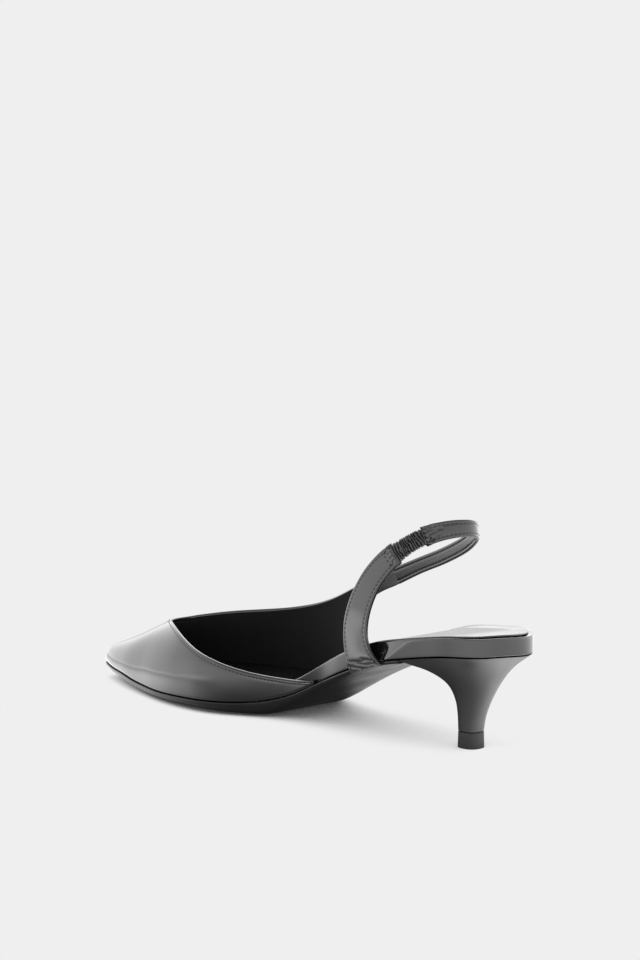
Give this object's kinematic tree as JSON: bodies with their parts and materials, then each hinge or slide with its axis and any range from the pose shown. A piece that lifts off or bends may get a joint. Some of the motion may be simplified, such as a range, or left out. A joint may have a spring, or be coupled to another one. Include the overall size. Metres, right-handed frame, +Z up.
{
  "type": "slingback kitten heel",
  "caption": "Pointed slingback pump in black patent leather on a slim kitten heel, cut away on its inner side, with a heel strap that a gathered elastic sleeve lets stretch.",
  "frame": {"origin": "centre of the overall box, on the floor that the shoe stands on", "axes": "+X from the toe to the heel, +Y to the outer side of the foot, +Z up"},
  "size_m": [0.2527, 0.077, 0.0971],
  "materials": {
    "black_patent_leather": "gloss",
    "black_sole_leather": "satin",
    "black_sock_leather": "satin",
    "black_elastic": "satin",
    "black_rubber": "matte"
  },
  "bodies": {
    "root": {"outsole": "black_sole_leather", "footbed": "black_patent_leather", "insole_sock": "black_sock_leather", "upper": "black_patent_leather", "sling_strap": "black_patent_leather", "elastic_sleeve": "black_elastic", "medial_strap": "black_patent_leather", "heel": "black_patent_leather", "top_piece": "black_rubber"}
  },
  "joints": []
}
